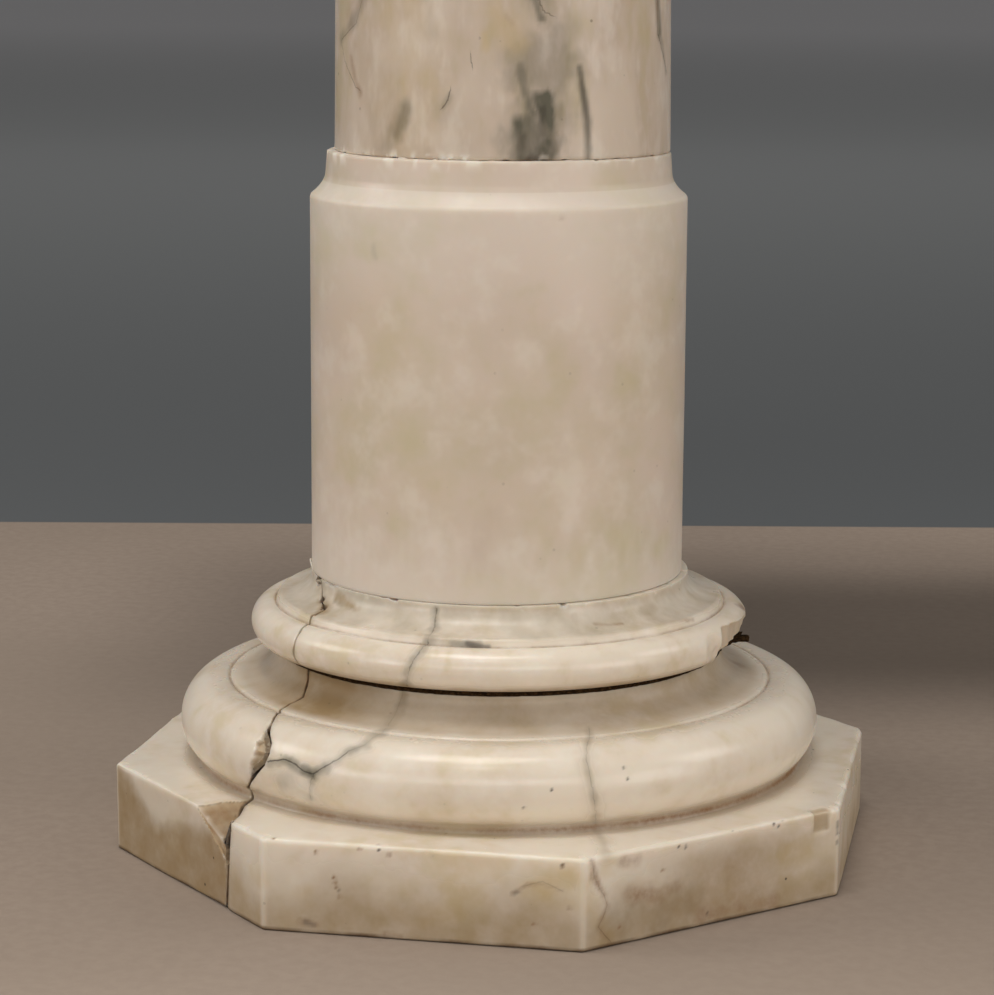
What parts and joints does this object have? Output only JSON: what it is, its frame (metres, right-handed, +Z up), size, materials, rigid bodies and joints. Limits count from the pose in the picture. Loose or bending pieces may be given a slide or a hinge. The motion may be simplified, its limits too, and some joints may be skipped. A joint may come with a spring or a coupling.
{
  "type": "doric column",
  "caption": "Free-standing turned stone column on an octagonal plinth, with torus mouldings and a chipped, cracked base.",
  "frame": {"origin": "middle of the plinth's underside, on the column's axis", "axes": "+Z up the column's axis; the plinth's flats face +X, -X, +Y and -Y and the four diagonals between"},
  "size_m": [0.3, 0.3, 1.05],
  "materials": {
    "base_stone": "satin",
    "mastic": "matte",
    "ring_stone": "satin",
    "drum_stone": "satin",
    "shaft_stone": "satin",
    "capital_stone": "satin"
  },
  "bodies": {
    "root": {"base": "base_stone", "packing": "mastic", "ring": "ring_stone", "drum": "drum_stone", "shaft": "shaft_stone", "capital": "capital_stone"}
  },
  "joints": []
}
